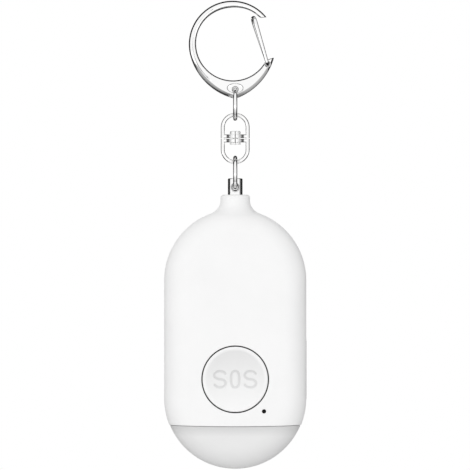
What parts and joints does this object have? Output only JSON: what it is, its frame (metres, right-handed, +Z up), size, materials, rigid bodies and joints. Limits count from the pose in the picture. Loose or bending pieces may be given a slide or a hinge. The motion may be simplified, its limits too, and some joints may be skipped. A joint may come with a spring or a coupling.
{
  "type": "personal safety alarm",
  "caption": "Pocket personal alarm: a white pebble-shaped body with a dished push button, light lens and siren, on a pull pin, swivel chain and snap hook.",
  "frame": {"origin": "centre of the snap hook's loop, where the alarm hangs from its holder", "axes": "+Z up along the chain, +Y from the button's side to the back, +X towards the gate's side"},
  "size_m": [0.0402, 0.0182, 0.1317],
  "materials": {
    "cast_hook": "bright nickel plate on a zinc casting",
    "spring_wire": "bright plated spring wire",
    "plated_wire": "bright nickel plate on steel wire",
    "plated_pin": "bright nickel plate on a turned post",
    "white_shell": "fine satin moulding",
    "frosted_lens": "frosted translucent moulding",
    "white_button": "fine satin moulding",
    "smoked_lens": "smoked clear moulding",
    "grey_silicone": "soft matt silicone",
    "steel_screw": "zinc-plated",
    "brass_bush": "turned",
    "contact_spring": "tinned spring strip",
    "board_laminate": "solder-masked laminate",
    "switch_body": "moulded",
    "led_body": "clear-coated chip",
    "coil_body": "pressed ferrite with its winding",
    "chip_body": "moulded",
    "steel_shell": "drawn steel shell",
    "cell_foil": "laminated foil pouch",
    "foam_pad": "closed-cell foam",
    "sounder_body": "moulded",
    "brass_disc": "rolled sheet",
    "black_cloth": "fine woven mesh"
  },
  "bodies": {
    "hook": {"snap_hook": "cast_hook"},
    "gate": {"hook_gate": "spring_wire"},
    "upper_link": {"upper_ring": "plated_wire"},
    "swivel_top": {"swivel_upper_loop": "plated_wire", "swivel_rivet": "plated_wire"},
    "swivel_bottom": {"swivel_lower_loop": "plated_wire"},
    "lower_link": {"lower_ring": "plated_wire"},
    "pin": {"pull_pin": "plated_pin"},
    "alarm": {"front_shell": "white_shell", "rear_shell": "white_shell", "light_lens": "frosted_lens", "indicator_lens": "smoked_lens", "shell_screws": "steel_screw", "pin_bush": "brass_bush", "pin_contacts": "contact_spring", "circuit_board": "board_laminate", "button_switch": "switch_body", "status_led": "led_body", "boost_coil": "coil_body", "board_chips": "chip_body", "usb_socket": "steel_shell", "led_board": "board_laminate", "strobe_leds": "led_body", "battery": "cell_foil", "battery_tabs": "contact_spring", "battery_pad": "foam_pad", "sounder_case": "sounder_body", "piezo_disc": "brass_disc", "sounder_pins": "contact_spring", "sounder_gasket": "foam_pad", "grille_cloth": "black_cloth"},
    "button": {"sos_button": "white_button", "switch_stem": "switch_body"},
    "cover": {"port_cover": "grey_silicone"}
  },
  "joints": [
    {"name": "gate_open", "type": "hinge", "parent": "hook", "child": "gate", "pos_m": [0.00973, 0, -0.00585], "axis": [0, -1, 0], "range_deg": [0, 45], "stiffness_Nm_per_rad": 0.02, "springref_deg": -11.46},
    {"name": "upper_ring_swing", "type": "hinge", "parent": "hook", "child": "upper_link", "pos_m": [0.0006, 0, -0.01295], "axis": [0, 1, 0], "range_deg": [-60, 60]},
    {"name": "swivel_tilt", "type": "hinge", "parent": "upper_link", "child": "swivel_top", "pos_m": [0.0006, 0, -0.0201], "axis": [1, 0, 0], "range_deg": [-70, 70]},
    {"name": "swivel_spin", "type": "hinge", "parent": "swivel_top", "child": "swivel_bottom", "pos_m": [0.0006, 0, -0.02675], "axis": [0, 0, 1], "continuous": true},
    {"name": "lower_ring_tilt", "type": "hinge", "parent": "swivel_bottom", "child": "lower_link", "pos_m": [0.0006, 0, -0.0334], "axis": [1, 0, 0], "range_deg": [-70, 70]},
    {"name": "pin_swing", "type": "hinge", "parent": "lower_link", "child": "pin", "pos_m": [0.0006, 0, -0.04055], "axis": [0, 1, 0], "range_deg": [-60, 60]},
    {"name": "pin_pull", "type": "slide", "parent": "pin", "child": "alarm", "axis": [0, 0, -1], "range_m": [0, 0.0125]},
    {"name": "button_press", "type": "slide", "parent": "alarm", "child": "button", "axis": [0, 1, 0], "range_m": [0, 0.0005], "stiffness_N_per_m": 400, "springref_m": -0.001},
    {"name": "port_cover_open", "type": "hinge", "parent": "alarm", "child": "cover", "pos_m": [0.0201, 0, -0.0828], "axis": [0, -1, 0], "range_deg": [0, 90]}
  ]
}
